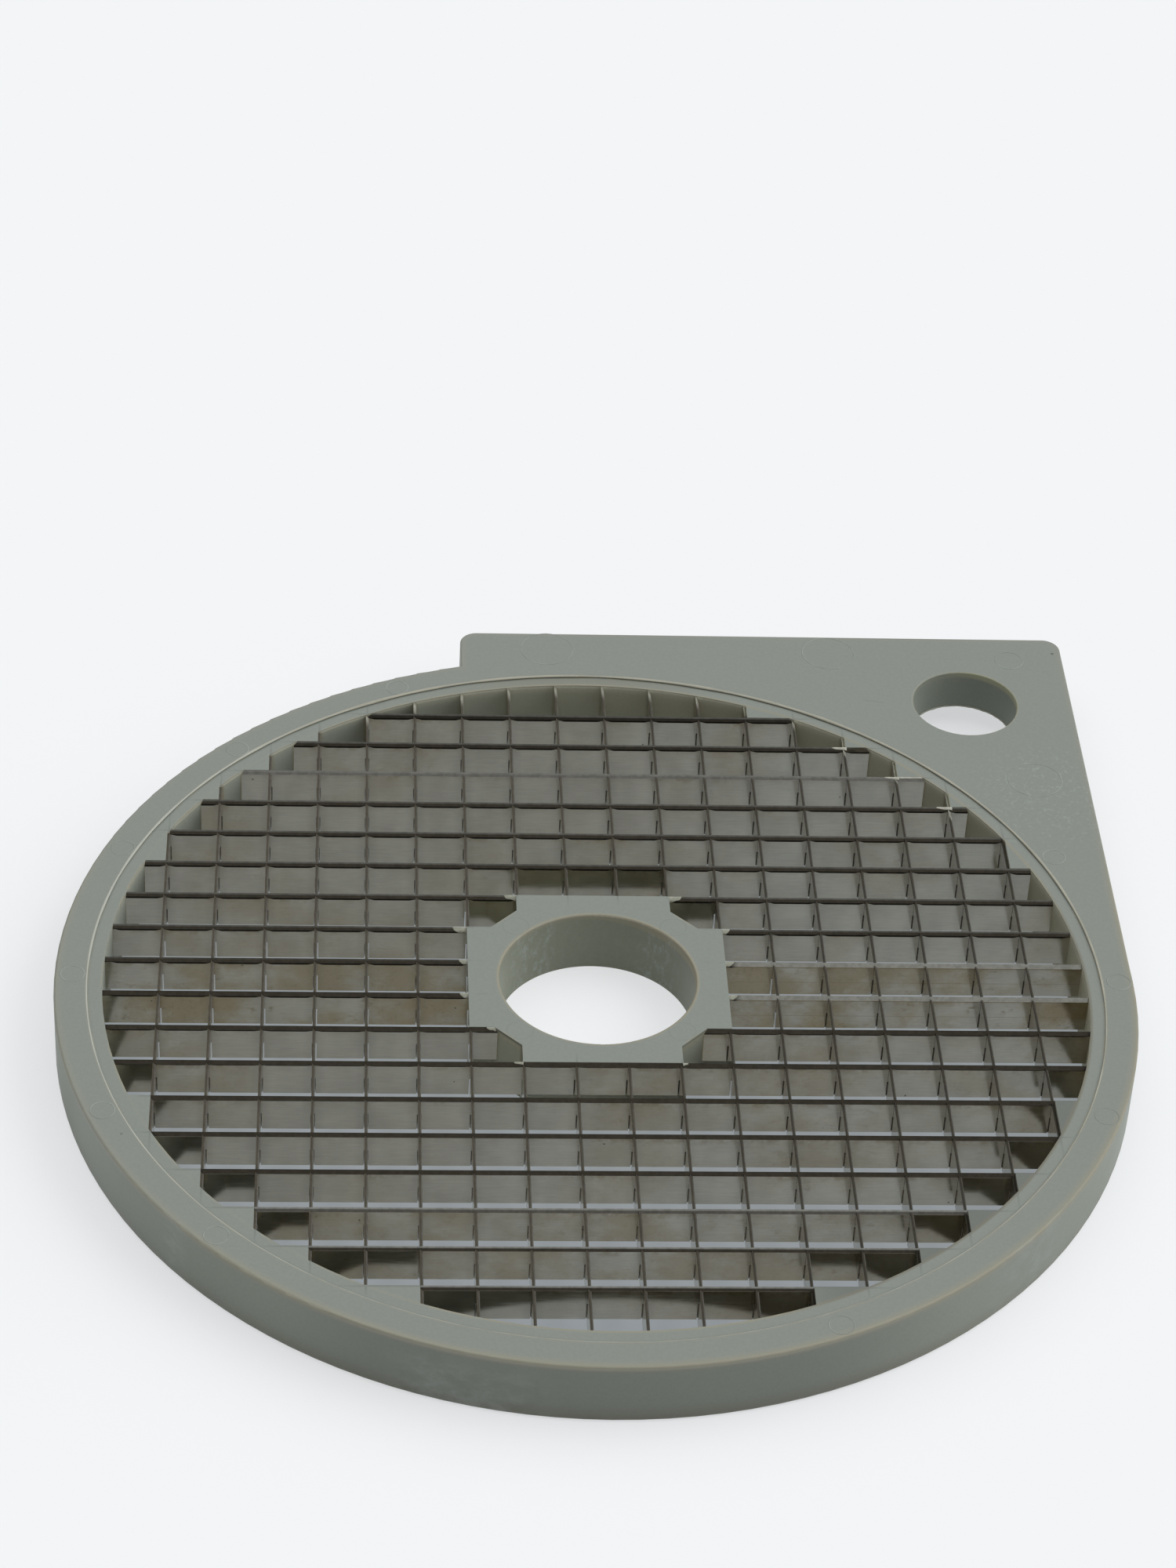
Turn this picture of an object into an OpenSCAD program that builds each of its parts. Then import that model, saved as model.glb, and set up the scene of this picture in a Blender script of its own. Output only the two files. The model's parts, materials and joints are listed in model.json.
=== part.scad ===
// Dicing grid plate: a round moulded frame with a corner tab, a hub with a large bore,
// and a lattice of half-lapped knife blades that are moulded into both.
// Millimetres, +Z up. The origin lies on the hub bore's axis at the underside.

/* [Frame ring] */
// Outer diameter of the ring
ring_d = 210.6; // [204:0.1:240]
// Width of the ring, from its outer face to the round opening that the blades span
ring_w = 9.3; // [8.4:0.1:17]
// Height of the knife edges above the underside
edge_h = 13.2; // [11:0.1:20]
// Height of the raised land above the ledge
land_h = 0.3; // [0.2:0.05:1]
// Width of the sunk ledge between the opening and the raised land
ledge_w = 2.9; // [1.5:0.1:5]
// Rounding of the bottom outer edge
foot_round = 0.9; // [0.3:0.1:2]
// Rounding of the top outer edge
rim_round = 0.4; // [0.2:0.1:1]

/* [Corner tab] */
// Distance that the tab's far edge stands out behind the ring
tab_reach = 9.2; // [6:0.1:16]
// Place of the tab's left end, left of the bore's axis
tab_left = 25.1; // [15:0.1:40]
// Thickness of the tab
tab_t = 9; // [6:0.1:11]
// Radius of the tab's two corners
tab_corner = 3.6; // [2:0.1:6]
// Diameter of the hole in the tab
tab_hole_d = 22.2; // [10:0.1:26]
// Rounding of the hole's upper rim
tab_hole_round = 0.3; // [0.1:0.1:1]
// Distance from the hole's centre to the tab's right side
tab_hole_side = 22.95; // [18:0.05:26]
// Distance from the hole's centre to the tab's far edge
tab_hole_far = 23.6; // [18:0.05:26]

/* [Hub] */
// Diameter of the bore through the hub
bore_d = 38.5; // [30:0.1:40]
// Least plastic between the bore and the hub's flat sides, which lie on whole cells
hub_wall = 3.2; // [3.1:0.1:5.7]
// Size of the diagonal in each notched corner of the hub
hub_corner = 5.2; // [3:0.1:7]
// Rounding of the bore's upper rim
bore_round = 0.4; // [0.1:0.1:1]

/* [Blades] */
// Distance from one blade to the next, both ways
pitch = 10; // [8:0.1:14]
// Thickness of the blade strip
blade_t = 0.6; // [0.4:0.05:1]
// Height of the blade strip
blade_h = 7.7; // [5:0.1:10]
// Height of the ground bevel
bevel_h = 0.7; // [0.4:0.05:1.5]
// Clearance on each side of a blade in its half-lap slot
lap_gap = 0.15; // [0.05:0.01:0.3]
// Depth that the blade ends are buried in the ring
ring_bury = 2.4; // [1.5:0.1:4]
// Plastic left between the bore and the blade ends in the hub
hub_end_wall = 3; // [1.5:0.1:3]
// Plastic over the buried knife edges
skin = 0.1; // [0.05:0.05:0.3]
// Least distance from the outermost blade to the opening's edge
edge_gap = 4; // [2:0.1:8]
// Cells that reach less than this past their inner corner are filled
sliver = 5; // [3:0.1:6]

/* [Hidden] */
$fn = 180;
eps = 0.5;
ring_r = ring_d / 2;
opening_r = ring_r - ring_w;
ledge_z = edge_h + skin;
land_z = ledge_z + land_h;
land_r = opening_r + ledge_w;
land_w = ring_r - land_r;
tab_far = ring_r + tab_reach;
// The tab's side meets the ring just short of its tangent
tab_right = ring_r - 0.05;
tab_z = land_z - tab_t;
hole_x = tab_right - tab_hole_side;
hole_y = tab_far - tab_hole_far;
bore_r = bore_d / 2;
slot_w = blade_t + 2 * lap_gap;

// Blades on each side of the centre lines, and their places
half_count = floor((opening_r - edge_gap) / pitch + 0.5);
count = 2 * half_count;
lines = [for (i = [0 : count - 1]) (i - half_count + 0.5) * pitch];

// The hub fills whole cells: its flat sides lie on the first blades clear of its wall
hub_cells = ceil((bore_r + hub_wall) / pitch - 0.5);
hub_half = (hub_cells + 0.5) * pitch;
hub_notch = hub_half - pitch;

// Radii at which the blade ends lie in the ring and in the hub
end_r = opening_r + ring_bury;
hub_end_r = bore_r + hub_end_wall;

// Inner corners of the sliver cells, all round, without the one left of the tab
open_corner = [-3.5 * pitch, (half_count - 0.5) * pitch];
fills = [for (x = lines) for (y = lines)
    if (norm([x, y]) < opening_r
        && norm([x, y]) > opening_r - sliver
        && norm([x, y] - open_corner) > pitch / 2) [x, y]];

function two(i) = str(i < 10 ? "0" : "", i);
function is_cut(i) = abs(lines[i]) < hub_half - pitch / 2;
function reach(c) = sqrt(end_r * end_r - c * c);
function hub_reach(c) = sqrt(hub_end_r * hub_end_r - c * c);
function names(stem, low, high) = [for (i = [0 : count - 1])
    for (s = is_cut(i) ? [low, high] : [""]) str(stem, two(i + 1), s)];

// Strip section: the bevel faces -Y and the knife edge lies on the far face
module section() {
    polygon([[-blade_t / 2, -blade_h], [blade_t / 2, -blade_h],
             [blade_t / 2, 0], [-blade_t / 2, -bevel_h]]);
}

// Bevelled strip along X without its slots, from a to b
module strip(a, b) {
    translate([a, 0, edge_h])
        rotate([90, 0, 90])
            linear_extrude(b - a)
                section();
}

// Slots for every crossing blade that a strip from a to b meets, from z0 to z1
module slots(a, b, z0, z1) {
    for (c = lines)
        if (c + slot_w / 2 > a && c - slot_w / 2 < b)
            translate([c - slot_w / 2, -blade_t, z0])
                cube([slot_w, 2 * blade_t, z1 - z0]);
}

// Rows are slotted from below, so they keep their whole knife edge
module row_strip(i, a, b) {
    color([0.63, 0.61, 0.58])
        translate([0, lines[i], 0])
            difference() {
                strip(a, b);
                slots(a, b, edge_h - blade_h - eps, edge_h - blade_h / 2);
            }
}

// Columns are slotted from above and seat in the rows
module column_strip(i, a, b) {
    color([0.6, 0.59, 0.57])
        translate([lines[i], 0, 0])
            rotate([0, 0, 90])
                difference() {
                    strip(a, b);
                    slots(a, b, edge_h - blade_h / 2, edge_h + eps);
                }
}

// Every strip as it lies, uncut, for the pockets in the mouldings
module lay_row(i, a, b) {
    translate([0, lines[i], 0])
        strip(a, b);
}

module lay_column(i, a, b) {
    translate([lines[i], 0, 0])
        rotate([0, 0, 90])
            strip(a, b);
}

// Half section of the ring as a disc: rounded foot and rim, and the ledge's step
module ring_section() {
    square([ring_r - foot_round, ledge_z]);
    translate([land_r + land_h, foot_round]) {
        square([land_w - land_h, land_z - rim_round - foot_round]);
        square([land_w - land_h - rim_round, land_z - foot_round]);
    }
    translate([ring_r - foot_round, foot_round])
        circle(foot_round);
    translate([ring_r - rim_round, land_z - rim_round])
        circle(rim_round);
    translate([land_r + land_h, ledge_z])
        circle(land_h);
}

// Upright section of the tab, w wide, with rounded upper and lower edges
module tab_section(w) {
    translate([0, rim_round])
        square([w, tab_t - 2 * rim_round]);
    square([w - rim_round, tab_t]);
    for (z = [rim_round, tab_t - rim_round])
        translate([w - rim_round, z])
            circle(rim_round);
}

// Tab: a far edge, a right side and a left end, joined by two round corners
module tab() {
    corner_y = tab_far - tab_corner;
    wide = tab_right + tab_left;
    translate([0, 0, tab_z]) {
        translate([tab_corner - tab_left, 0, 0])
            rotate([90, 0, 90])
                linear_extrude(wide - 2 * tab_corner)
                    tab_section(tab_far);
        translate([0, corner_y, 0])
            rotate([90, 0, 0])
                linear_extrude(corner_y)
                    tab_section(tab_right);
        translate([0, corner_y, 0])
            rotate([90, 0, 0])
                linear_extrude(corner_y)
                    mirror([1, 0])
                        tab_section(tab_left);
        for (x = [tab_right - tab_corner, tab_corner - tab_left])
            translate([x, corner_y, 0])
                rotate_extrude()
                    tab_section(tab_corner);
    }
}

// Plan of the opening: a circle less the sliver cells, whose walls follow the blades
module opening_plan() {
    difference() {
        circle(opening_r);
        for (c = fills)
            translate([c.x + sign(c.x) * blade_t / 2 - (c.x < 0 ? 2 * pitch : 0),
                       c.y + blade_t / 2 - (c.y < 0 ? 2 * pitch : 0)])
                square(2 * pitch);
    }
}

// Cutter that rounds the upper rim of a hole of radius r whose top lies at z
module rim_cutter(r, z, rim) {
    rotate_extrude()
        difference() {
            translate([r - eps, z - rim])
                square([rim + eps, rim + eps]);
            translate([r + rim, z - rim])
                circle(rim);
        }
}

module frame_ring() {
    color([0.54, 0.57, 0.54])
        difference() {
            union() {
                rotate_extrude()
                    ring_section();
                difference() {
                    tab();
                    translate([0, 0, -eps])
                        cylinder(h = land_z + 1, r = land_r + 1);
                }
            }
            translate([0, 0, -eps])
                linear_extrude(land_z + 1)
                    opening_plan();
            for (i = [0 : count - 1]) {
                lay_row(i, -reach(lines[i]), reach(lines[i]));
                lay_column(i, -reach(lines[i]), reach(lines[i]));
            }
            translate([hole_x, hole_y, 0]) {
                translate([0, 0, tab_z - eps])
                    cylinder(h = tab_t + 1, d = tab_hole_d);
                rim_cutter(tab_hole_d / 2, land_z, tab_hole_round);
            }
        }
}

// Plan of the hub: five cells wide, with a notch and a diagonal at each corner. Its
// sides lie on the outer faces of the blades, its front on the back of the row there.
module hub_plan() {
    t = blade_t / 2;
    x2 = hub_half + t;
    x1 = hub_notch + t;
    yf2 = hub_half + t;
    yf1 = hub_notch + t;
    yn2 = t - hub_half;
    yn1 = t - hub_notch;
    polygon([[x2, yn1], [x2, yf1], [x1 + hub_corner, yf1], [x1, yf1 + hub_corner],
             [x1, yf2], [-x1, yf2], [-x1, yf1 + hub_corner], [-x1 - hub_corner, yf1],
             [-x2, yf1], [-x2, yn1], [-x1 - hub_corner, yn1], [-x1, yn1 - hub_corner],
             [-x1, yn2], [x1, yn2], [x1, yn1 - hub_corner], [x1 + hub_corner, yn1]]);
}

module hub() {
    far = 2 * hub_half;
    color([0.54, 0.57, 0.54])
        difference() {
            linear_extrude(ledge_z)
                hub_plan();
            translate([0, 0, -eps])
                cylinder(h = ledge_z + 1, r = bore_r);
            rim_cutter(bore_r, ledge_z, bore_round);
            for (i = [0 : count - 1])
                if (is_cut(i)) {
                    lay_row(i, -far, -hub_reach(lines[i]));
                    lay_row(i, hub_reach(lines[i]), far);
                    lay_column(i, -far, -hub_reach(lines[i]));
                    lay_column(i, hub_reach(lines[i]), far);
                } else if (abs(lines[i]) < hub_half + pitch / 2) {
                    if (lines[i] > 0)
                        lay_row(i, -far, far);
                    lay_column(i, -far, far);
                }
        }
}

frame_ring();
hub();
for (i = [0 : count - 1]) {
    end = reach(lines[i]);
    row = str("row_", two(i + 1));
    column = str("column_", two(i + 1));
    if (is_cut(i)) {
        mid = hub_reach(lines[i]);
        row_strip(i, -end, -mid);
        row_strip(i, mid, end);
        column_strip(i, -end, -mid);
        column_strip(i, mid, end);
    } else {
        row_strip(i, -end, end);
        column_strip(i, -end, end);
    }
}
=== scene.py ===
"""Dicing grid plate: finishes for the moulded frame, the hub and the knife blades, with
the moulding flash, the bead, the pin marks and the dry grime as thin pieces of their own.
Sizes and places are in millimetres, and MM turns them into metres."""

import json
from functools import reduce
from math import pi, radians

import bpy
import numpy as np
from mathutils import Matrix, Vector


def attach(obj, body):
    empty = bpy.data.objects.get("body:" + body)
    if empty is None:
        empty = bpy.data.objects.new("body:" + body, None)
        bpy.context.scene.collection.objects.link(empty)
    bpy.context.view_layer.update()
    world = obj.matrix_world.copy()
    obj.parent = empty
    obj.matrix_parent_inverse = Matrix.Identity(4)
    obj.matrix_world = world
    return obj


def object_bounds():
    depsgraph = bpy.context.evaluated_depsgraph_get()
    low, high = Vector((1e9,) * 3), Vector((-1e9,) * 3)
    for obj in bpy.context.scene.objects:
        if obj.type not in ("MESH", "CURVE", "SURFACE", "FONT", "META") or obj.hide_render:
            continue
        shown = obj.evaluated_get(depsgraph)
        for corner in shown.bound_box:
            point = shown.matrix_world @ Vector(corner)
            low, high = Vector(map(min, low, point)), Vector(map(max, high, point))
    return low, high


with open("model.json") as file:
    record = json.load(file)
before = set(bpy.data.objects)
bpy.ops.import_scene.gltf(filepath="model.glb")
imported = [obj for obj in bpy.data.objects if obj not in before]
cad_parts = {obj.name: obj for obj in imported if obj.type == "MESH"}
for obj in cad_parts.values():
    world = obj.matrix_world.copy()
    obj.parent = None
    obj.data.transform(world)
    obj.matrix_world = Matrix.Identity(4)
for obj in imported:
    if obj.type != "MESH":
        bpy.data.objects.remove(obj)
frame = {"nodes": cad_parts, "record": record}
cad_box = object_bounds()

MM = 0.001


def in_mm(metres):
    """A length from the frame, in millimetres."""
    return round(float(metres) / MM, 3)


# Sizes that the frame gives: its box, and the bores among the record's mounts
mounts = {mount["name"]: mount for mount in frame["record"]["mounts"]}
RING_R, TAB_FAR, LAND_Z = (in_mm(length) for length in cad_box[1])
BORE_R = mounts["hub_bore"]["dims"]["r_mm"]
HOLE_R = mounts["tab_hole"]["dims"]["r_mm"]
HOLE = tuple(in_mm(length) for length in mounts["tab_hole"]["pos_m"][:2])

# The plate's driving sizes that the finishes and the thin pieces follow
PITCH = 10.0
LINES = 18
BLADE_T = 0.6
BLADE_H = 7.7
BEVEL_H = 0.7
LAP_GAP = 0.15
SKIN = 0.1
LAND_H = 0.3
RING_W = 9.3
LEDGE_W = 2.9
HUB_CELLS = 5
HUB_END_WALL = 3.0
TAB_T = 9.0
TAB_LEFT = 25.1
TAB_CORNER = 3.6
# The tab's side meets the ring just short of its tangent
TAB_SHORT = 0.05

# Worked out from these
LEDGE_Z = LAND_Z - LAND_H
EDGE_Z = LEDGE_Z - SKIN
OPENING_R = RING_R - RING_W
LAND_R = OPENING_R + LEDGE_W
LAST_LINE = (LINES - 1) / 2 * PITCH
HUB_HALF = (HUB_CELLS * PITCH + BLADE_T) / 2
HUB_END_R = BORE_R + HUB_END_WALL
TAB_Z = LAND_Z - TAB_T
TAB_RIGHT = RING_R - TAB_SHORT

# A Mix node's colour sockets, which share their names with its sockets of other types
MIX_A = 6
MIX_B = 7
MIX_RESULT = 2
# Where a face counts as an edge, as the cosine between its own and the rounded normal
EDGE_FULL = 0.9
EDGE_NONE = 0.999
# Nearly all of a noise lies between these values
NOISE_LOW = 0.3
NOISE_HIGH = 0.7
# Share of the speck cells that stay clean, and how sharply that is told
CLEAN_CELLS = 0.73
CELL_SOFT = 0.01


class Finish:
    """One material's node tree, with short calls for the nodes that the finishes use.
    Places are read as Object coordinates in millimetres. A mask is one where something
    shows and nothing elsewhere. The colour is built up by calls to shade and paint."""

    def __init__(self, name, colour=None):
        self.material = bpy.data.materials.new(name)
        self.material.use_nodes = True
        self.tree = self.material.node_tree
        self.shader = self.tree.nodes["Principled BSDF"]
        self.colour = colour
        coords = self.tree.nodes.new("ShaderNodeTexCoord")
        scaled = self.tree.nodes.new("ShaderNodeVectorMath")
        scaled.operation = "SCALE"
        scaled.inputs["Scale"].default_value = 1 / MM
        self.tree.links.new(coords.outputs["Object"], scaled.inputs[0])
        self.at = scaled.outputs[0]
        split = self.tree.nodes.new("ShaderNodeSeparateXYZ")
        self.tree.links.new(self.at, split.inputs[0])
        self.x, self.y, self.z = split.outputs
        self.r = self.length(self.x, self.y)

    def feed(self, socket, value):
        """A socket takes either another node's output or a plain value."""
        if isinstance(value, bpy.types.NodeSocket):
            self.tree.links.new(value, socket)
        elif isinstance(value, tuple):
            socket.default_value = value[:len(socket.default_value)]
        else:
            socket.default_value = value

    def math(self, operation, *values):
        node = self.tree.nodes.new("ShaderNodeMath")
        node.operation = operation
        for socket, value in zip(node.inputs, values):
            self.feed(socket, value)
        return node.outputs[0]

    def add(self, a, b):
        return self.math("ADD", a, b)

    def sub(self, a, b):
        return self.math("SUBTRACT", a, b)

    def mul(self, *values):
        """The product of two or more values: of masks, what all of them show."""
        return reduce(lambda a, b: self.math("MULTIPLY", a, b), values)

    def most(self, *values):
        """The largest of two or more values: of masks, what any of them shows."""
        return reduce(lambda a, b: self.math("MAXIMUM", a, b), values)

    def least(self, a, b):
        return self.math("MINIMUM", a, b)

    def size(self, a):
        """A value without its sign."""
        return self.math("ABSOLUTE", a)

    def away(self, a, centre):
        """Distance of a value from a centre."""
        return self.size(self.sub(a, centre))

    def length(self, a, b):
        """Distance of the point (a, b) from the origin."""
        return self.math("SQRT", self.add(self.mul(a, a), self.mul(b, b)))

    def step(self, value, low, high, out_low=0.0, out_high=1.0):
        """Smooth step: out_low below low, out_high above high."""
        node = self.tree.nodes.new("ShaderNodeMapRange")
        node.interpolation_type = "SMOOTHSTEP"
        self.feed(node.inputs["Value"], value)
        for name, number in zip(("From Min", "From Max", "To Min", "To Max"),
                                (low, high, out_low, out_high)):
            node.inputs[name].default_value = number
        return node.outputs[0]

    def fall(self, value, low, high, full=1.0):
        """Smooth step down: full below low, nothing above high."""
        return self.step(value, low, high, full, 0.0)

    def upper(self, level, low, high):
        """Nothing deeper than low millimetres under a level, one from high under it up."""
        return self.step(self.z, level - low, level - high)

    def lower(self, level, low, high):
        """One deeper than low millimetres under a level, nothing from high under it up."""
        return self.fall(self.z, level - low, level - high)

    def near(self, x, y, low, high):
        """One within low millimetres of an upright line at x and y, nothing past high."""
        return self.fall(self.length(self.sub(self.x, x), self.sub(self.y, y)), low, high)

    def band(self, value, low, high, soft):
        """One between low and high, nothing outside, with soft edges."""
        return self.mul(self.step(value, low - soft, low + soft),
                        self.fall(value, high - soft, high + soft))

    def noise(self, scale, detail=3.0, rough=0.5, stretch=(1, 1, 1), shift=(0, 0, 0)):
        """Noise whose grain is 1 / scale millimetres, finer along the stretched axes."""
        place = self.tree.nodes.new("ShaderNodeMapping")
        place.inputs["Scale"].default_value = stretch
        place.inputs["Location"].default_value = shift
        self.tree.links.new(self.at, place.inputs[0])
        node = self.tree.nodes.new("ShaderNodeTexNoise")
        node.inputs["Scale"].default_value = scale
        node.inputs["Detail"].default_value = detail
        node.inputs["Roughness"].default_value = rough
        self.tree.links.new(place.outputs[0], node.inputs["Vector"])
        return node.outputs["Fac"]

    def spread(self, noise, low, high):
        """A noise carried over to values from low to high."""
        return self.step(noise, NOISE_LOW, NOISE_HIGH, low, high)

    def specks(self, scale, radius):
        """Small round specks, one here and there: near a cell's centre, in few cells."""
        node = self.tree.nodes.new("ShaderNodeTexVoronoi")
        node.inputs["Scale"].default_value = scale
        self.tree.links.new(self.at, node.inputs["Vector"])
        near = self.fall(node.outputs["Distance"], radius * 0.6, radius)
        split = self.tree.nodes.new("ShaderNodeSeparateColor")
        self.tree.links.new(node.outputs["Color"], split.inputs[0])
        return self.mul(near, self.step(split.outputs[0], CLEAN_CELLS - CELL_SOFT,
                                        CLEAN_CELLS + CELL_SOFT))

    def tint(self, mask, a, b):
        """Colour a turned into colour b where the mask shows."""
        node = self.tree.nodes.new("ShaderNodeMix")
        node.data_type = "RGBA"
        self.feed(node.inputs["Factor"], mask)
        self.feed(node.inputs[MIX_A], a)
        self.feed(node.inputs[MIX_B], b)
        return node.outputs[MIX_RESULT]

    def scaled(self, colour, factor):
        """A colour made lighter or darker by a factor round one."""
        node = self.tree.nodes.new("ShaderNodeVectorMath")
        node.operation = "SCALE"
        self.feed(node.inputs[0], colour)
        self.feed(node.inputs["Scale"], factor)
        return node.outputs[0]

    def paint(self, colour, *masks, share=1.0):
        """Lays that share of a colour over the finish where all the masks show."""
        self.colour = self.tint(self.mul(share, *masks), self.colour, colour)

    def shade(self, factor):
        """Makes the finish lighter or darker by a factor round one."""
        self.colour = self.scaled(self.colour, factor)

    def edge(self, radius, samples=4):
        """One on edges sharper than the radius in millimetres, nothing on flat faces."""
        soft = self.tree.nodes.new("ShaderNodeBevel")
        soft.samples = samples
        soft.inputs["Radius"].default_value = radius * MM
        plain = self.tree.nodes.new("ShaderNodeNewGeometry")
        dot = self.tree.nodes.new("ShaderNodeVectorMath")
        dot.operation = "DOT_PRODUCT"
        self.tree.links.new(soft.outputs[0], dot.inputs[0])
        self.tree.links.new(plain.outputs["Normal"], dot.inputs[1])
        return self.fall(dot.outputs["Value"], EDGE_FULL, EDGE_NONE)

    def relief(self, height, distance, strength):
        """Bump from a height between nothing and one that stands distance proud."""
        node = self.tree.nodes.new("ShaderNodeBump")
        node.inputs["Strength"].default_value = strength
        node.inputs["Distance"].default_value = distance * MM
        self.feed(node.inputs["Height"], height)
        self.tree.links.new(node.outputs[0], self.shader.inputs["Normal"])

    def done(self, roughness, metallic=0.0):
        """The finished material."""
        self.feed(self.shader.inputs["Base Color"], self.colour)
        self.feed(self.shader.inputs["Roughness"], roughness)
        self.feed(self.shader.inputs["Metallic"], metallic)
        return self.material


# Plastic
SAGE = (0.203, 0.224, 0.197, 1.0)
SAGE_COOL = (0.204, 0.227, 0.199, 1.0)
WALL_OLIVE = (0.205, 0.222, 0.168, 1.0)
OUTER_SAGE = (0.210, 0.232, 0.195, 1.0)
# Painted light on the hub's outer walls, tan towards the top
HUB_WALL_LIT = (0.36, 0.385, 0.315, 1.0)
HUB_LIT_TAN = (0.42, 0.41, 0.31, 1.0)
# Painted highlight on the rim of the tab's hole
HOLE_RIM_HIGHLIGHT = (0.35, 0.35, 0.23, 1.0)
LEDGE_WARM = (0.185, 0.194, 0.157, 1.0)
# Painted light on the opening's wall: paler and tan where light bounces onto it, highlights along
# its top
INNER_LIT_SAGE = (0.31, 0.34, 0.295, 1.0)
INNER_LIT_TAN = (0.37, 0.37, 0.28, 1.0)
INNER_HIGHLIGHT = (0.47, 0.465, 0.365, 1.0)
INNER_RIM_HIGHLIGHT = (0.68, 0.68, 0.57, 1.0)
# Painted highlight on rounded edges and rims
EDGE_HIGHLIGHT_TAN = (0.285, 0.262, 0.182, 1.0)
# Painted shade at the foot of the outer wall
FOOT_SHADE_BROWN = (0.15, 0.135, 0.095, 1.0)
SCUFF = (0.33, 0.365, 0.345, 1.0)
SPECK = (0.04, 0.035, 0.025, 1.0)
# Dark traces and scratches, also used for painted shade in the step's crease
TRACE_AND_SHADE = (0.12, 0.13, 0.12, 1.0)

# How far under a top face its tone begins and is full
FACE = (0.06, 0.02)
# How far under it the walls' tones end, softened over the rounded rim
RIM = (0.9, 0.3)
# Marks by place: x, y, how far from there they are full, and how far they reach
WARM_LEDGE = (0, 97, 5, 38)
SIDE_SCUFFS = [(77, -72, 3, 15), (-80, -68.5, 0.5, 5)]
BORE_RUBS = [(-12.6, 14.5, 1, 8), (12.6, 14.5, 1, 7)]
TAB_WISPS = (97, 59, 6, 22)
TAB_SPECK = (103.4, 109.3, 0.2, 0.45)
RING_SPECK = (-90.2, -45.8, 0.15, 0.4)
# Middle of the scuff on the front wall, left of the centre line
FRONT_SCUFF_X = -27
# The tab's scratch: its middle, its slope and its ends
SCRATCH_AT = (62.7, 91.2)
SCRATCH_SLOPE = -0.19
SCRATCH_FROM = 60.7
SCRATCH_TO = 64.8
# The hub's four pin marks: their distance from both centre lines, and their radius
HUB_PIN = 15.6
HUB_PIN_R = 2.6


def line_gap(finish, along):
    """Distance to the nearest blade line across an axis: lines lie at half pitches."""
    return finish.sub(PITCH / 2, finish.math("PINGPONG", along, PITCH / 2))


def moulded_grain(finish, highlight_share=1.0):
    """Moulded plastic: soft clouds of tone, a fine grain, and a warm painted highlight on the
    rounded edges, apart from the lines above the buried blades. Highlight_share is the
    strength of that highlight. Returns the roughness."""
    clouds = finish.noise(0.035)
    grain = finish.noise(1.6, detail=2.0)
    finish.shade(finish.add(finish.spread(clouds, 0.96, 1.04),
                            finish.spread(grain, -0.025, 0.025)))
    over_blades = finish.mul(finish.step(finish.z, LEDGE_Z - 0.05, LEDGE_Z - 0.02),
                             finish.fall(finish.z, LEDGE_Z + 0.05, LEDGE_Z + 0.1))
    clear = finish.least(finish.step(line_gap(finish, finish.x), 0.9, 1.3),
                         finish.step(line_gap(finish, finish.y), 0.9, 1.3))
    clear = finish.most(clear, finish.sub(1.0, over_blades))
    patchy = finish.step(finish.noise(0.12), 0.25, 0.6, 0.45, 0.95)
    # painted highlight along the rounded edges
    finish.paint(EDGE_HIGHLIGHT_TAN, finish.edge(radius=0.8), patchy, clear, highlight_share)
    finish.relief(grain, distance=0.02, strength=0.4)
    return finish.spread(clouds, 0.46, 0.6)


def lit_opening_wall(finish):
    """The wall round the opening, lit by painted light: paler than the plastic, tan on the
    right, with a painted highlight along its upper edge, and painted shade in front."""
    wall = finish.tint(finish.step(finish.x, -50, 20), INNER_LIT_SAGE, INNER_LIT_TAN)
    glow = finish.mul(finish.upper(LEDGE_Z, 2.4, 0.4), finish.step(finish.x, -70, 0, 0.3, 1.0))
    wall = finish.tint(glow, wall, INNER_HIGHLIGHT)
    brim = finish.mul(finish.upper(LEDGE_Z, 0.85, 0.3), finish.step(finish.y, 0, 60, 0.1, 0.9))
    wall = finish.tint(brim, wall, INNER_RIM_HIGHLIGHT)
    # painted shade in front
    return finish.scaled(wall, finish.step(finish.y, -60, -5, 0.45, 1.0))


def ledge_edge(finish, on_ledge):
    """A painted tan highlight along the ledge's inner edge, stronger on the right, and painted
    shade on the ledge beside that edge on the right.
    """
    lip = finish.band(finish.r, OPENING_R - 0.3, OPENING_R + 0.45, soft=0.2)
    finish.paint(EDGE_HIGHLIGHT_TAN, lip, finish.step(finish.x, -60, 0, 0.08, 0.5), on_ledge)
    # painted shade on the ledge beside its inner edge, on the right
    edge_shade = finish.mul(finish.fall(finish.r, OPENING_R + 0.1, OPENING_R + 0.75, full=0.42),
                      finish.step(finish.x, 20, 45), finish.step(finish.y, 5, 35, 1.0, 0.2),
                      on_ledge)
    finish.shade(finish.sub(1.0, edge_shade))


def inside_outline(finish):
    """Distance in from the outline of the ring or the tab, whichever is the longer."""
    side = finish.least(finish.sub(TAB_RIGHT, finish.x), finish.add(finish.x, TAB_LEFT))
    corner = finish.length(finish.most(finish.sub(TAB_CORNER, side), 0.0),
                           finish.most(finish.sub(finish.y, TAB_FAR - TAB_CORNER), 0.0))
    no_tab = finish.fall(finish.y, 0, 1, full=2 * RING_R)
    in_tab = finish.sub(finish.sub(TAB_CORNER, corner), no_tab)
    return finish.most(finish.sub(RING_R, finish.r), in_tab)


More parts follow.
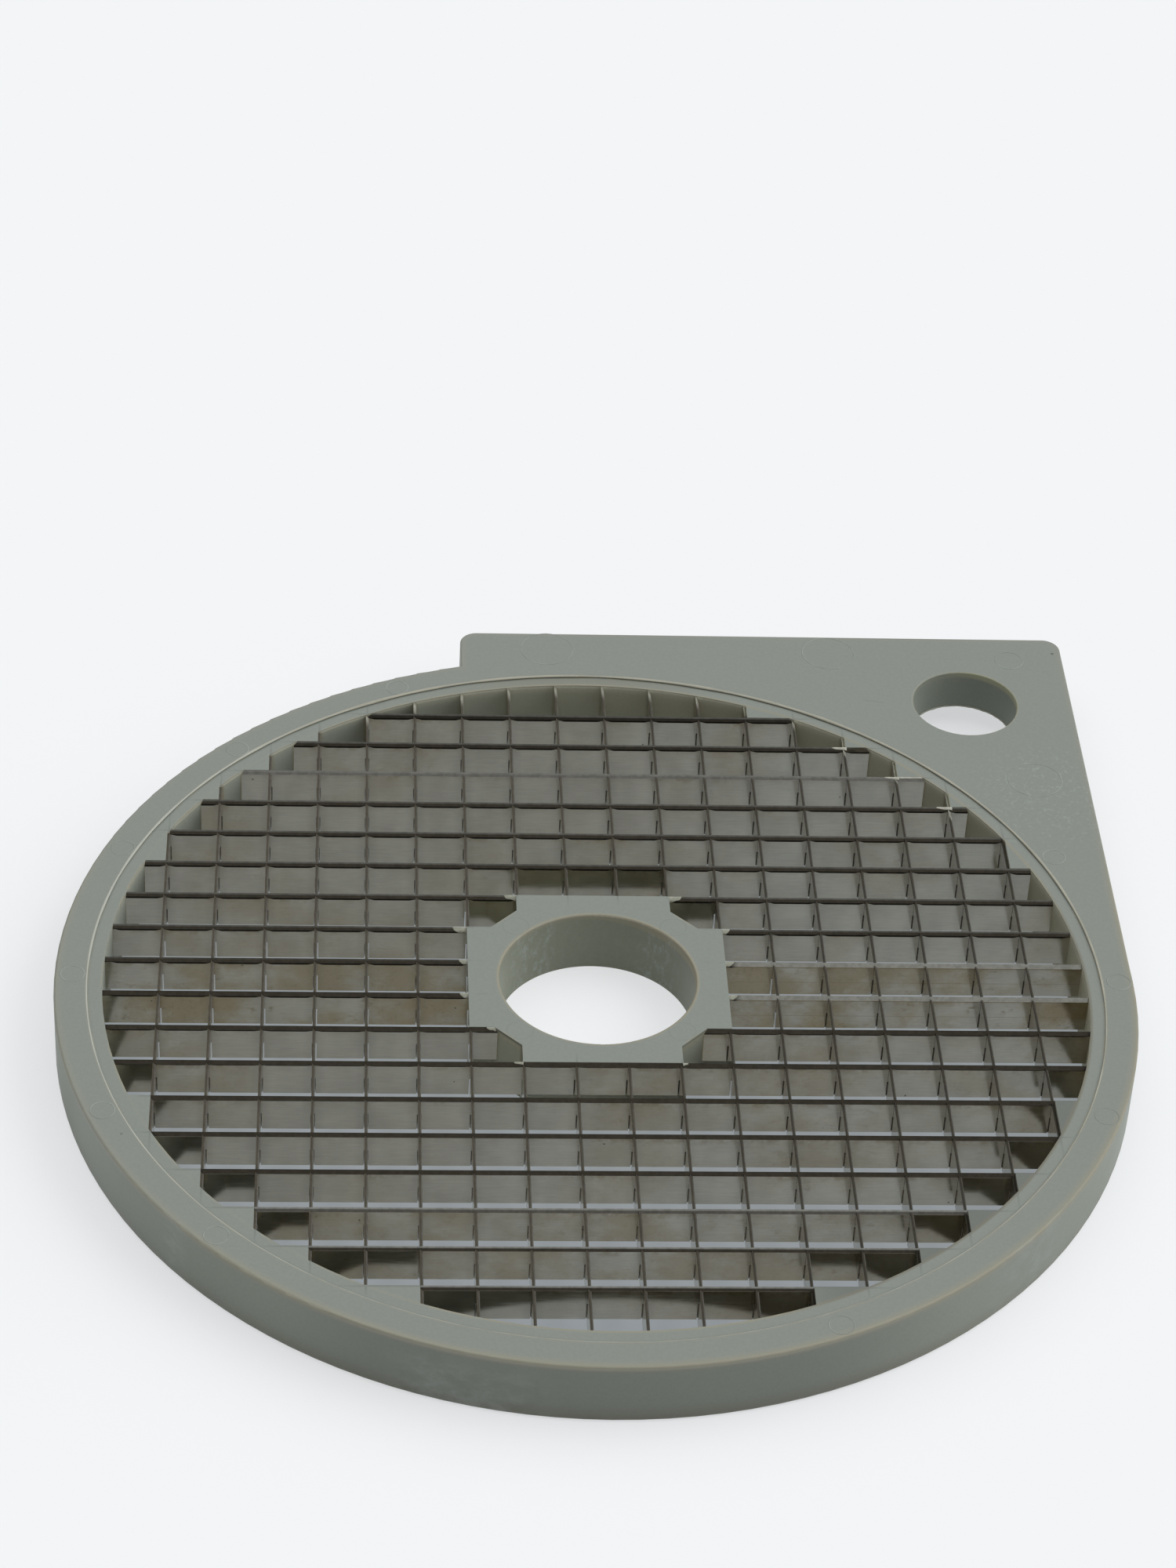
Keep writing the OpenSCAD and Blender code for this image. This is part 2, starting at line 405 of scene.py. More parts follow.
def upper_rim_highlights(finish, on_tab):
    """Painted tan highlights on rims: the right of the tab's hole, and a line along the plate's
    outline.
    """
    # painted highlight on the right of the hole's rim, then along the outline
    finish.paint(HOLE_RIM_HIGHLIGHT, finish.near(*HOLE, HOLE_R + 0.05, HOLE_R + 0.35),
                 finish.upper(LAND_Z, 1.7, 0.8), finish.step(finish.x, 77, 87, 0.2, 0.9))
    finish.paint(EDGE_HIGHLIGHT_TAN, finish.fall(inside_outline(finish), 0.1, 2.0),
                 finish.upper(LAND_Z, 1.8, 0.3), finish.step(finish.x, -100, -60, 0.45, 1.0),
                 finish.sub(1.0, finish.mul(on_tab, 0.7)), share=0.5)


def ledge_lines(finish, on_ledge):
    """A line of painted shade along the inner side of the step, and faint traces of the blades
    that are buried under the ledge."""
    # painted shade in the crease at the step's foot
    crease = finish.band(finish.r, LAND_R - 0.5, LAND_R - 0.25, soft=0.12)
    finish.paint(TRACE_AND_SHADE, crease, on_ledge, share=0.2)
    over_blade = finish.most(finish.fall(line_gap(finish, finish.x), 0.12, 0.3),
                             finish.fall(line_gap(finish, finish.y), 0.12, 0.3))
    finish.paint(TRACE_AND_SHADE, over_blade,
                 finish.fall(finish.size(finish.x), LAST_LINE + 2, LAST_LINE + 3),
                 finish.fall(finish.size(finish.y), LAST_LINE + 2, LAST_LINE + 3),
                 on_ledge, finish.step(finish.r, OPENING_R, LAND_R - 0.4, 0.5, 0.2))


def outer_wall_marks(finish, on_wall):
    """The outer wall has painted brown shade at its foot and painted shade on its front, and
    pale scuffs lie on its front and sides."""
    # painted shade at the wall's foot
    finish.paint(FOOT_SHADE_BROWN, on_wall, finish.fall(finish.z, 0.3, 4.5),
                 finish.step(finish.y, -100, -60, 1.0, 0.4), share=0.5)
    # painted shade on the wall's front
    front = finish.mul(on_wall, finish.lower(LEDGE_Z, *RIM),
                       finish.fall(finish.y, -102, -83, full=0.23))
    finish.shade(finish.sub(1.0, front))
    in_front = finish.mul(finish.fall(finish.away(finish.x, FRONT_SCUFF_X), 5, 18),
                          finish.step(finish.z, 7.5, 11.5, 1.0, 0.2),
                          finish.fall(finish.y, -60, 0))
    at_sides = [finish.mul(finish.near(*place), 0.8) for place in SIDE_SCUFFS]
    cloudy = finish.noise(0.22, detail=5.0, rough=0.62, stretch=(1, 1, 1.6))
    finish.paint(SCUFF, finish.most(in_front, *at_sides), on_wall,
                 finish.step(cloudy, 0.34, 0.78), share=0.42)


def small_marks(finish):
    """Pale wisps, one scratch and a dark speck on the tab, and a speck on the ring."""
    wisps = finish.step(finish.noise(0.8, detail=6.0, rough=0.75), 0.52, 0.7)
    finish.paint(SCUFF, wisps, finish.near(*TAB_WISPS), share=0.5)
    fall = finish.mul(finish.sub(finish.x, SCRATCH_AT[0]), SCRATCH_SLOPE)
    aside = finish.size(finish.sub(finish.sub(finish.y, SCRATCH_AT[1]), fall))
    finish.paint(TRACE_AND_SHADE, finish.fall(aside, 0.05, 0.16),
                 finish.band(finish.x, SCRATCH_FROM, SCRATCH_TO, soft=0.5), share=0.5)
    finish.paint(SPECK, finish.near(*TAB_SPECK), share=0.8)
    finish.paint(SPECK, finish.near(*RING_SPECK), share=0.5)


def frame_plastic():
    """The ring and the tab. Upright walls are more olive than the top."""
    finish = Finish("frame_plastic_moulded", SAGE)
    on_ledge = finish.mul(finish.fall(finish.r, LAND_R - 0.5, LAND_R + 0.1),
                          finish.upper(LEDGE_Z, *FACE))
    on_wall = finish.step(finish.r, RING_R - 0.6, RING_R - 0.2)
    on_tab = finish.mul(finish.step(finish.y, 20, 50), finish.step(finish.r, LAND_R + 2, RING_R))
    finish.paint(finish.tint(finish.near(*WARM_LEDGE), SAGE_COOL, LEDGE_WARM), on_ledge)
    finish.paint(finish.tint(on_wall, WALL_OLIVE, OUTER_SAGE), finish.lower(LEDGE_Z, *RIM))
    # the opening's wall, in painted light and shade
    finish.paint(lit_opening_wall(finish), finish.lower(LEDGE_Z, *FACE),
                 finish.fall(finish.r, OPENING_R + 0.2, OPENING_R + 0.5))
    roughness = moulded_grain(finish, finish.sub(1.0, finish.mul(on_tab, 0.65)))
    ledge_edge(finish, on_ledge)
    upper_rim_highlights(finish, on_tab)
    ledge_lines(finish, on_ledge)
    outer_wall_marks(finish, on_wall)
    small_marks(finish)
    return finish.done(roughness)


def hub_traces(finish, on_top):
    """Faint traces of the blade ends buried in the hub."""
    rows = finish.mul(finish.fall(line_gap(finish, finish.y), 0.1, 0.26),
                      finish.step(finish.size(finish.x), HUB_END_R - 2.4, HUB_END_R + 0.5))
    columns = finish.mul(finish.fall(line_gap(finish, finish.x), 0.1, 0.26),
                         finish.step(finish.size(finish.y), HUB_END_R - 0.5, HUB_END_R + 2.4))
    broken = finish.step(finish.noise(0.4, detail=2.0), 0.4, 0.62, 0.05, 0.5)
    finish.paint(TRACE_AND_SHADE, finish.most(rows, columns), on_top, broken)


def bore_marks(finish):
    """A painted tan highlight round the bore's rim, deeper on the right, and rubbed streaks
    down its wall."""
    deeper = finish.add(finish.z, finish.step(finish.x, -5, 15, 0.0, 0.9))
    # painted highlight round the bore's rim
    finish.paint(EDGE_HIGHLIGHT_TAN, finish.fall(finish.r, BORE_R + 0.2, BORE_R + 0.9),
                 finish.step(deeper, LEDGE_Z - 1.3, LEDGE_Z - 0.6),
                 finish.step(finish.x, -5, 15, 0.6, 0.9))
    rubbed = finish.noise(0.6, detail=6.0, rough=0.78, stretch=(1, 1, 0.6))
    at_rubs = finish.most(*(finish.near(*place) for place in BORE_RUBS))
    finish.paint(SCUFF, finish.fall(finish.r, BORE_R + 0.05, BORE_R + 0.3),
                 finish.step(rubbed, 0.46, 0.7), finish.add(finish.mul(at_rubs, 0.7), 0.12))


def hub_pins(finish, on_top):
    """Faint rings left by four pins at the hub's corners."""
    from_pin = finish.length(finish.away(finish.size(finish.x), HUB_PIN),
                             finish.away(finish.size(finish.y), HUB_PIN))
    ring = finish.band(from_pin, HUB_PIN_R - 0.1, HUB_PIN_R + 0.1, soft=0.12)
    finish.paint(TRACE_AND_SHADE, ring, on_top, share=0.25)


def hub_plastic():
    """The hub. Its outer walls are painted lighter than the bore's, with a painted tan
    highlight above and painted shade on the right."""
    finish = Finish("hub_plastic_moulded", WALL_OLIVE)
    on_top = finish.upper(LEDGE_Z, *FACE)
    outer = finish.tint(finish.upper(LEDGE_Z, 2.4, 0.5), HUB_WALL_LIT, HUB_LIT_TAN)
    # painted shade on the right of the outer walls
    outer = finish.scaled(outer, finish.step(finish.x, -12, 12, 1.2, 0.75))
    finish.paint(outer, finish.step(finish.r, BORE_R + 0.6, BORE_R + 1.0))
    finish.paint(SAGE_COOL, finish.upper(LEDGE_Z, *RIM))
    roughness = moulded_grain(finish)
    hub_traces(finish, on_top)
    bore_marks(finish)
    hub_pins(finish, on_top)
    return finish.done(roughness)


# Steel
STEEL = (0.59, 0.547, 0.455, 1.0)
STEEL_CLEAN = (0.64, 0.60, 0.515, 1.0)
# The rows' ground bevel: a painted dark reflection, paler on a few rows
BEVEL_DARK_REFLECTION = (0.036, 0.0317, 0.0243, 1.0)
BEVEL_DULL = (0.11, 0.107, 0.095, 1.0)
BEVEL_LIGHT = (0.19, 0.187, 0.165, 1.0)
# Painted highlight along the rows' knife edge
KNIFE_GLINT = (0.25, 0.25, 0.23, 1.0)
BEVEL_COLUMN = (0.100, 0.090, 0.068, 1.0)
BEVEL_HEEL = (0.16, 0.155, 0.135, 1.0)
HUB_SIDE = (0.30, 0.27, 0.20, 1.0)
STAIN = (0.46, 0.375, 0.24, 1.0)
BLOTCH = (0.32, 0.25, 0.15, 1.0)
TIP = (0.43, 0.43, 0.375, 1.0)

# Stretch of the noise for rolled streaks along X and along Y
STREAKS_X = (0.12, 1, 1.6)
STREAKS_Y = (1, 0.12, 1.6)
# Films and spots are a little flatter than they are wide
FLAT = (1, 1, 1.4)
# Places of two rows whose bevels are paler than the others'
LIGHT_ROW = 65
NEAR_ROW = -65
# Stretch of a bevel that was left ragged
RAGGED_EDGE = (58, 75, 1.5, 3.4)


def at_row(finish, y):
    """One on the row blade at y, nothing on the others."""
    return finish.band(finish.y, y - 2, y + 2, soft=0.5)


def strip_faces(finish, streaks, film_share, spot_share):
    """Rolled strip over the finish's first colour: fine streaks, brown films left by
    washing, strongest beside the hub and across the front cells, and specks. The shares
    say how strong films and spots are. Returns where a film is faint, and the spots."""
    cloud = finish.noise(0.12)
    finish.shade(finish.add(finish.spread(cloud, 0.92, 1.06),
                            finish.spread(streaks, -0.04, 0.04)))
    beside_hub = finish.band(finish.y, -9, 7, soft=4)
    front = finish.mul(finish.band(finish.y, -78, -62, soft=5), 0.7)
    wide = finish.noise(0.03, detail=2.0, shift=(7, 3, 0))
    faint = finish.step(wide, 0.42, 0.68, 0.0, 0.55)
    where = finish.most(beside_hub, front, faint)
    film = finish.noise(0.07, detail=5.0, rough=0.6, stretch=FLAT)
    stained = finish.mul(finish.step(film, 0.36, 0.62), where, film_share)
    finish.paint(STAIN, stained)
    spots = finish.noise(0.32, detail=6.0, rough=0.72, stretch=FLAT)
    spotted = finish.mul(finish.step(spots, 0.56, 0.72), where, spot_share)
    finish.paint(BLOTCH, spotted)
    fine = finish.noise(1.6, detail=4.0, rough=0.75)
    finish.paint(BLOTCH, finish.step(fine, 0.54, 0.68), stained, share=0.5)
    finish.paint(SPECK, finish.specks(scale=0.22, radius=0.05), share=0.8)
    return faint, spotted


def ground_strip(finish, streaks, spotted, bevel, below_bevel, bevel_rough):
    """Lays the bevel's colour from the knife edge down, where below_bevel is under
    nothing, nicks it, and returns the steel. Bevel_rough is how much rougher it is."""
    ground = finish.fall(below_bevel, -0.03, 0.03)
    nicks = finish.step(finish.noise(0.9, rough=0.7), 0.35, 0.65, 0.88, 1.12)
    finish.paint(finish.scaled(bevel, nicks), ground)
    rough = finish.add(finish.spread(streaks, 0.1, 0.17), finish.mul(spotted, 0.25))
    finish.relief(streaks, distance=0.004, strength=0.3)
    return finish.done(finish.add(rough, finish.mul(ground, bevel_rough)), metallic=1.0)


def row_bevel(finish, drop, light_row, right_pair):
    """Colour of the rows' ground bevel, a painted dark reflection, paler on a few rows, with a
    painted highlight along the knife edge on the far rows and on the nearest ones."""
    # painted dark reflection, darker still on the farthest rows
    bevel = finish.scaled(BEVEL_DARK_REFLECTION, finish.step(finish.y, 70, 80, 1.0, 0.6))
    bevel = finish.tint(light_row, bevel, BEVEL_DULL)
    bevel = finish.tint(right_pair, bevel, BEVEL_LIGHT)
    bevel = finish.tint(finish.mul(at_row(finish, NEAR_ROW), 0.5), bevel, BEVEL_DULL)
    bright = finish.most(finish.step(finish.y, -5, 20, 0.0, 0.25),
                         finish.fall(finish.y, -60, -55, full=0.7))
    # painted highlight along the knife edge
    bevel = finish.tint(finish.mul(finish.fall(drop, 0.12, 0.35), bright), bevel, KNIFE_GLINT)
    ragged = finish.mul(finish.near(*RAGGED_EDGE), finish.step(finish.noise(0.9), 0.3, 0.5))
    return finish.tint(ragged, bevel, SPECK)


def row_steel():
    """The strips along X. They are cleaner on the right and in front of the hub. A brown
    film hangs below the bevel, and painted shade darkens the faces towards the columns."""
    finish = Finish("row_blade_steel")
    in_front = finish.mul(finish.fall(finish.y, -50, -25), finish.step(finish.x, -40, 0))
    clean = finish.most(finish.step(finish.x, 5, 40), in_front)
    finish.colour = finish.tint(clean, STEEL, STEEL_CLEAN)
    streaks = finish.noise(2.2, rough=0.6, stretch=STREAKS_X)
    faint, spotted = strip_faces(finish, streaks, film_share=0.95, spot_share=0.6)
    drop = finish.sub(EDGE_Z, finish.z)
    hung = finish.noise(0.35, detail=4.0, rough=0.65)
    finish.paint(BLOTCH, finish.fall(drop, BEVEL_H, BEVEL_H + 1.8),
                 finish.step(hung, 0.42, 0.62), finish.step(faint, 0.0, 0.5, 0.15, 0.7),
                 share=0.8)
    aside = line_gap(finish, finish.x)
    # painted shade on the faces towards the columns
    finish.shade(finish.step(aside, 0.3, 2.6, 0.9, 1.03))
    # two scored lines on the pair of rows right of the hub
    right_pair = finish.mul(finish.band(finish.y, -7, 7, soft=0.5),
                            finish.step(finish.x, 26, 28))
    low_line = finish.band(finish.z, 8.5, 8.65, soft=0.06)
    high_line = finish.band(drop, BEVEL_H, BEVEL_H + 0.25, soft=0.06)
    finish.paint(BLOTCH, low_line, right_pair, share=0.4)
    finish.paint(BLOTCH, high_line, right_pair, share=0.6)
    # the bevel's painted dark reflection, with a dark band of it below that thins out beside the
    # columns
    light_row = at_row(finish, LIGHT_ROW)
    dark_band = finish.mul(finish.step(aside, 0.3, 1.7, 0.3, 1.0),
                           finish.step(finish.y, -45, 10, 0.0, 0.42),
                           finish.sub(1.0, finish.most(light_row, right_pair)))
    below_bevel = finish.sub(drop, finish.add(dark_band, BEVEL_H))
    bevel = row_bevel(finish, drop, light_row, right_pair)
    return ground_strip(finish, streaks, spotted, bevel, below_bevel, bevel_rough=0.2)


def column_bevel(finish, drop):
    """Colour of the columns' ground bevel: painted shade darkens it on the right; it has a
    paler heel, and is pale at the far ends, where the ring's light falls on them."""
    # painted shade towards the right
    bevel = finish.scaled(BEVEL_COLUMN, finish.step(finish.x, -10, 40, 1.0, 0.7))
    bevel = finish.tint(finish.step(drop, 0.42, 0.5), bevel, BEVEL_HEEL)
    far_end = finish.mul(finish.step(finish.r, OPENING_R - 4.5, OPENING_R - 1.2),
                         finish.step(finish.y, 80, 84))
    far_right = finish.mul(finish.step(finish.r, OPENING_R - 5.2, OPENING_R - 4.4),
                           finish.step(finish.x, 50, 52), finish.step(finish.y, 50, 52))
    return finish.tint(finish.most(far_end, far_right), bevel, TIP)


def column_steel():
    """The strips along Y. Painted shade darkens them on the right, and they are browner
    where they run along the hub."""
    finish = Finish("column_blade_steel", STEEL)
    streaks = finish.noise(2.2, rough=0.6, stretch=STREAKS_Y)
    spotted = strip_faces(finish, streaks, film_share=0.3, spot_share=0.2)[1]
    # painted shade towards the right
    finish.shade(finish.step(finish.x, -20, 20, 0.88, 0.66))
    finish.paint(HUB_SIDE, finish.band(finish.size(finish.x), 24, 26, soft=0.3),
                 finish.fall(finish.size(finish.y), 15, 16))
    drop = finish.sub(EDGE_Z, finish.z)
    below_bevel = finish.sub(drop, BEVEL_H)
    bevel = column_bevel(finish, drop)
    return ground_strip(finish, streaks, spotted, bevel, below_bevel, bevel_rough=0.35)


# Skins of the thin pieces

# The corners of a square with its middle at the origin, in units of half its side
SQUARE = [(-1, -1), (1, -1), (1, 1), (-1, 1)]


def closed_tube(rings):
    """Vertices and quads of a closed skin through rings of points, shaped
    (rings, points, 3), with each end gathered to its mean point."""
    count, around = rings.shape[:2]
    points = np.concatenate([rings.reshape(-1, 3), rings[:1].mean(axis=1),
                             rings[-1:].mean(axis=1)])
    i, j = np.meshgrid(np.arange(count - 1), np.arange(around), indexing="ij")
    k = (j + 1) % around
    quads = np.stack([i * around + j, i * around + k, (i + 1) * around + k,
                      (i + 1) * around + j], axis=-1).reshape(-1, 4)
    ring = np.arange(around)
    after = (ring + 1) % around
    first = np.stack([np.full(around, count * around), after, ring], axis=-1)
    base = (count - 1) * around
    last = np.stack([np.full(around, count * around + 1), base + ring, base + after], axis=-1)
    return points, [quads, np.concatenate([first, last])]


# Waves per turn of the three sines in a ridge's waver
RIDGE_WAVES = (7, 19, 43)


def ridge_round(centre, radius, half_wide, high, z, around=72, waver=0.0, slim=0.0):
    """A low ridge round a circle: an ellipse, half_wide by high, carried round it. Its
    width and height waver with the sum of three sines of the angle, and where slim is
    above nothing they fall by that share from the far side (+Y) to the near one."""
    across = 8
    a = np.linspace(0, 2 * pi, around, endpoint=False)[:, None]
    b = np.linspace(0, 2 * pi, across, endpoint=False)[None, :]
    waves = sum(np.sin(n * a + phase) for phase, n in enumerate(RIDGE_WAVES))
    swell = 1 + waver * waves / len(RIDGE_WAVES)
    swell = swell * (1 - slim * (1 - np.sin(a)) / 2)
    half_wide, high = half_wide * swell, high * swell
    r = radius + half_wide * np.cos(b)
    x = centre[0] + r * np.cos(a)
    y = centre[1] + r * np.sin(a)
    points = np.stack(np.broadcast_arrays(x, y, z + high * np.sin(b)), axis=-1)
    i, j = np.meshgrid(np.arange(around), np.arange(across), indexing="ij")
    m, k = (i + 1) % around, (j + 1) % across
    quads = np.stack([i * across + j, m * across + j, m * across + k, i * across + k],
                     axis=-1).reshape(-1, 4)
    return points.reshape(-1, 3), [quads]


# Flash on the rows: its thickness, the share of it left at the tip, its least depth,
# the share and the waves of its waver, how far it stands off the face and over the
# knife edge, and how much its thickness leans it down
TONGUE_T = 0.22
TONGUE_TIP = 0.25
TONGUE_LEAST = 0.12
TONGUE_WAVER = 0.12
TONGUE_WAVES = 9
TONGUE_OFF = 0.04
TONGUE_OVER = 0.07
TONGUE_LEAN = 0.3


def tongue(root, tip, row, deep):
    """Flash on a row blade: a flat oval section over the knife edge, the bevel and the
    face below it, carried from the root to the tip along X and drawn out to nothing.
    Its depth falls as the square root of the way left, with a slight waver."""
    steps, around = 14, 16
    t = np.linspace(0, 1, steps)[:, None]
    left = np.sqrt(np.clip(1 - t, 0, 1)) * (1 - TONGUE_WAVER * np.sin(TONGUE_WAVES * t + root))
    v = np.linspace(0, 2 * pi, around, endpoint=False)[None, :]
    down = 0.5 * (1 - np.cos(v)) * (TONGUE_LEAST + deep * left)
    out = 0.5 * TONGUE_T * np.sin(v) * (TONGUE_TIP + (1 - TONGUE_TIP) * left)
    bevel = np.clip(down / BEVEL_H, 0, 1)
    y = row + BLADE_T / 2 - bevel * BLADE_T - out - TONGUE_OFF
    z = EDGE_Z + TONGUE_OVER - down - TONGUE_LEAN * out
    x = root + (tip - root) * t + 0 * v
    rings = np.stack([x, y, z], axis=-1)
    if tip < root:
        rings = rings[:, ::-1]
    return closed_tube(rings)


# Grime in the half-laps: how far it stays off the slot's sides, behind the blade's
# faces, and off the slot's lower and upper end, how far each of its ends varies, and the
# shares of its width at the lower end, in the middle and at the upper end
LAP_SIDE = 0.01
LAP_FACE = 0.02
LAP_FOOT = 0.03
LAP_HEAD = 0.12
LAP_VARIES = 0.3
LAP_WIDTHS = (0.6, 1.0, 0.9)
LAP_SEED = 7
# Crossings that are nearer than this to the opening's edge have none
LAP_MARGIN = 2


def prisms(rings):
    """Vertices and quads of closed upright prisms with four sides, from their corners,
    shaped (prisms, levels, corners, 3)."""
    count, levels, corners = rings.shape[:3]
    j = np.arange(corners)
    k = (j + 1) % corners
    wall = np.stack([j, k, k + corners, j + corners], axis=-1)
    walls = [wall + level * corners for level in range(levels - 1)]
    ends = [j[::-1], j + (levels - 1) * corners]
    starts = levels * corners * np.arange(count)[:, None, None]
    quads = (np.concatenate([*walls, ends]) + starts).reshape(-1, corners)
    return rings.reshape(-1, 3), [quads]


def filled_crossings():
    """Places of the crossings with grime left of the column, and of those with grime
    right of it. Some gaps left and right of the hub stay clean."""
    lines = np.linspace(-LAST_LINE, LAST_LINE, LINES)
    x, y = (a.ravel() for a in np.meshgrid(lines, lines))
    in_hub = (abs(x) <= HUB_HALF) & (abs(y) <= HUB_HALF)
    shown = (np.hypot(x, y) < OPENING_R - LAP_MARGIN) & ~in_hub
    middle_pair = abs(y) < PITCH
    clean_left_side = (abs(x - 3.5 * PITCH) < 1) & middle_pair
    clean_right_side = (x < -3 * PITCH) & middle_pair | (x < -4 * PITCH) & (abs(y) < 2 * PITCH)
    return [(x[shown & ~clean], y[shown & ~clean])
            for clean in (clean_left_side, clean_right_side)]


def lap_fillings():
    """Grime packed beside the columns in the rows' half-laps: a narrow upright prism in
    each gap, its lower end drawn in."""
    rng = np.random.default_rng(LAP_SEED)
    corner = np.array(SQUARE)
    dx = corner[:, 0] * (LAP_GAP / 2 - LAP_SIDE)
    dy = corner[:, 1] * (BLADE_T / 2 - LAP_FACE)
    skins = []
    for side, (x, y) in zip((-1, 1), filled_crossings()):
        low = EDGE_Z - BLADE_H + LAP_FOOT + rng.uniform(0, LAP_VARIES, x.size)
        high = EDGE_Z - BLADE_H / 2 - LAP_HEAD - rng.uniform(0, LAP_VARIES, x.size)
        middle = x + side * (BLADE_T + LAP_GAP) / 2
        rings = []
        for z, width in zip((low, (low + high) / 2, high), LAP_WIDTHS):
            across = middle[:, None] + width * dx
            rings.append(np.stack([across, y[:, None] + width * dy, z[:, None] + 0 * across],
                                  axis=-1))
        skins.append(prisms(np.stack(rings, axis=1)))
    return skins


def piece(name, skins, finish, smooth=True):
    """One object made of several skins, in metres, riding on the plate."""
    points, faces, start = [], [], 0
    for skin, groups in skins:
        points.append(skin)
        faces += [tuple(f) for group in groups for f in (group + start).tolist()]
        start += len(skin)
    mesh = bpy.data.meshes.new(name)
    mesh.from_pydata((np.concatenate(points) * MM).tolist(), [], faces)
    mesh.update()
    mesh.polygons.foreach_set("use_smooth", [smooth] * len(mesh.polygons))
    mesh.materials.append(finish)
    obj = bpy.data.objects.new(name, mesh)
    bpy.context.scene.collection.objects.link(obj)
    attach(obj, "root")


# Finishes of the thin pieces
FLASH_TONES = ((0.34, 0.345, 0.275, 1.0), (0.43, 0.435, 0.36, 1.0))
PALE_FLASH_TONES = ((0.46, 0.46, 0.385, 1.0), (0.58, 0.58, 0.50, 1.0))
# The bead's tones, paler than the plastic, partly a painted highlight on its top
BEAD_TONES = ((0.29, 0.285, 0.225, 1.0), (0.36, 0.352, 0.28, 1.0))
# Painted highlight on the bead, on the left and in front
BEAD_HIGHLIGHT = (0.42, 0.44, 0.385, 1.0)
GRIME_TONES = ((0.11, 0.10, 0.08, 1.0), (0.19, 0.18, 0.15, 1.0))
GRIME_NEAR = (0.36, 0.335, 0.275, 1.0)
# The pin marks' paler tone is a painted highlight on their ridges, mixed in by noise
PIN_TONES = (SAGE, (0.28, 0.305, 0.275, 1.0))


def two_toned(name, tones, scale, detail=3.0, rough=0.5, high=0.65, proud=0.03, strength=0.5):
    """A finish of two tones, mixed by a noise that also stands proud as a relief. The
    second tone is full where the noise is over high."""
    finish = Finish(name)
    noise = finish.noise(scale, detail, rough)
    finish.colour = finish.tint(finish.step(noise, 0.35, high), *tones)
    finish.relief(noise, proud, strength)
    return finish


def flash_plastic(name, tones):
    return two_toned(name, tones, scale=1.4).done(roughness=0.5)


def bead_plastic():
    """The bead's tan is partly a painted highlight, and on the left and in front a paler
    painted highlight lies over it.
    """
    finish = two_toned("step_bead_plastic", BEAD_TONES, scale=0.11, detail=4.0, rough=0.6,
                       high=0.6, strength=0.3)
    # painted highlight on the left and in front
    finish.paint(BEAD_HIGHLIGHT, finish.most(finish.fall(finish.x, -90, -40, full=0.8),
                                        finish.fall(finish.y, -85, -50, full=0.7)))
    return finish.done(roughness=0.45)


def lap_grime():
    """The grime is paler in front."""
    finish = two_toned("lap_grime_dry", GRIME_TONES, scale=2.5, detail=4.0, rough=0.7,
                       proud=0.05, strength=0.6)
    finish.paint(GRIME_NEAR, finish.fall(finish.y, -60, -25), share=0.75)
    return finish.done(roughness=0.8)


def pin_plastic():
    # the paler tone is a painted highlight on the ridges
    finish = two_toned("pin_mark_plastic", PIN_TONES, scale=0.25, proud=0.02, strength=0.3)
    return finish.done(roughness=0.5)


# The plate's own nodes: all rows share one finish, and so do all columns
finishes = {
    "frame_ring": frame_plastic(),
    "hub": hub_plastic(),
    "row": row_steel(),
    "column": column_steel(),
}
for name, node in frame["nodes"].items():
    key = name if name in finishes else name.split("_")[0]
    for slot in node.material_slots:
        slot.material = finishes[key]

# Tongues of flash: root and tip along X, the row's place, and the depth
HUB_TONGUES = [(-15.2, -17.7, 25, 0.8), (15.2, 17.8, 25, 0.9), (-25.2, -28.1, 15, 1.4),
               (25.2, 26.8, 15, 0.9), (-25.2, -27.0, 5, 0.8), (25.2, 27.0, 5, 0.8),
               (-25.2, -27.0, -5, 0.8), (25.2, 27.0, -5, 0.8), (-20.2, -22.0, -15, 0.45),
               (-15.2, -17.0, -25, 0.25), (15.2, 16.2, -25, 0.25)]
RING_TONGUES = [(45.4, 44.4, 85, 0.35), (55.5, 52.4, 75, 0.35), (65.6, 62.6, 65, 0.3),
                (65.6, 71.2, 65, 0.1), (75.6, 72.3, 55, 0.35)]
flash = flash_plastic("flash_plastic_thin", FLASH_TONES)
pale_flash = flash_plastic("flash_plastic_pale", PALE_FLASH_TONES)
piece("hub_flash", [tongue(*sizes) for sizes in HUB_TONGUES], flash)
piece("ring_flash", [tongue(*sizes) for sizes in RING_TONGUES], pale_flash)

# Pin marks: four on the tab, and those of the ring's sixteen that show, whose circle
# lies a little off the plate's centre
TAB_PINS = [((-6.5, 108.7), 5.6), ((54.4, 108.4), 5.6), ((94.0, 64.4), 5.6), ((93.6, 106.6), 3.0)]
RING_PINS_SHOWN = [0, 1, *range(5, 11), 13, 15]
RING_PINS = 16
RING_PINS_R = 102.1
RING_PINS_OFF = 0.3
RING_PIN_R = 2.3


def ring_pin(number):
    """Place and radius of one of the ring's pin marks, counted anticlockwise from +X."""
    angle = 2 * pi * number / RING_PINS
    x = RING_PINS_R * np.cos(angle) + RING_PINS_OFF
    y = RING_PINS_R * np.sin(angle) - RING_PINS_OFF
    return (x, y), RING_PIN_R


